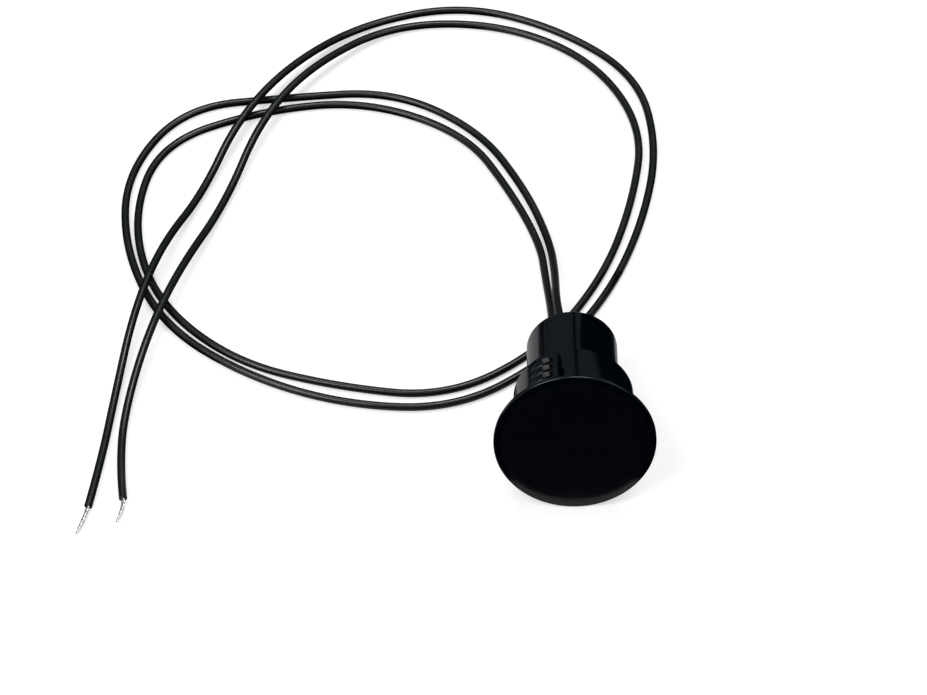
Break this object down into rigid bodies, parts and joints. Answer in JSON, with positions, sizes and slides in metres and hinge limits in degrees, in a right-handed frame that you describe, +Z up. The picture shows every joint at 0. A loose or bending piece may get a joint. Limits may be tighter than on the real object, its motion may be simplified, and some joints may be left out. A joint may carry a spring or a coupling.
{
  "type": "recessed magnetic contact",
  "caption": "Round-faced recessed switch for a magnetic door contact, with a toothed snap collar, a plain barrel and two bare-ended leads.",
  "frame": {"origin": "middle of the housing's footprint, on the surface that the contact lies on", "axes": "+Z up, +Y from the face towards the barrel and leads, +X to the right seen from the face"},
  "size_m": [0.1213, 0.1515, 0.0323],
  "materials": {
    "black_moulding": "polished black moulding",
    "potting_resin": "cast black resin",
    "reed_glass": "green-tinted glass",
    "reed_metal": "plated nickel-iron",
    "soft_sleeve": "soft translucent sleeve",
    "wire_sleeve": "plain sleeve",
    "solder": "bright solder",
    "tinned_copper": "tinned strands",
    "lead_insulation": "half-gloss black insulation"
  },
  "bodies": {
    "root": {"housing": "black_moulding", "snap_collar": "black_moulding", "potting": "potting_resin", "reed_glass": "reed_glass", "reed_blade_front": "reed_metal", "reed_blade_rear": "reed_metal", "damping_sleeve": "soft_sleeve", "return_wire": "tinned_copper", "return_sleeve": "wire_sleeve", "solder_front": "solder", "solder_rear": "solder", "solder_return": "solder", "lead_a": "lead_insulation", "lead_b": "lead_insulation", "lead_a_core": "tinned_copper", "lead_b_core": "tinned_copper", "lead_a_tip": "tinned_copper", "lead_b_tip": "tinned_copper"}
  },
  "joints": []
}
